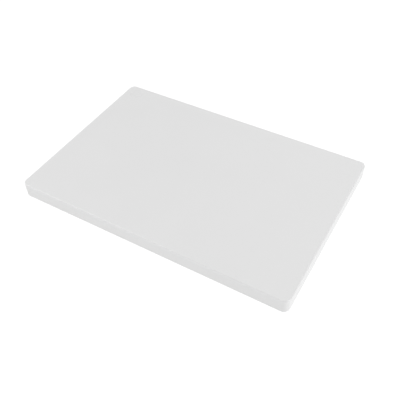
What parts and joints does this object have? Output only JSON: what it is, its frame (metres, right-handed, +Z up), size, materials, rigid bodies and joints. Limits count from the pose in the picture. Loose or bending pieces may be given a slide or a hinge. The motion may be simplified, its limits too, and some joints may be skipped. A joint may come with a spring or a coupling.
{
  "type": "cutting board",
  "caption": "White plastic butcher's cutting board: a plain rectangular slab, the same on both faces, with rounded corners and softly rounded edges.",
  "frame": {"origin": "centre of the underside, on the surface that the board lies on", "axes": "+X along the length, +Y across the width towards the side with the engraved corner rings, +Z up out of the upper cutting face"},
  "size_m": [0.45, 0.3, 0.025],
  "materials": {
    "polyethylene": "satin"
  },
  "bodies": {
    "root": {"board": "polyethylene"}
  },
  "joints": []
}
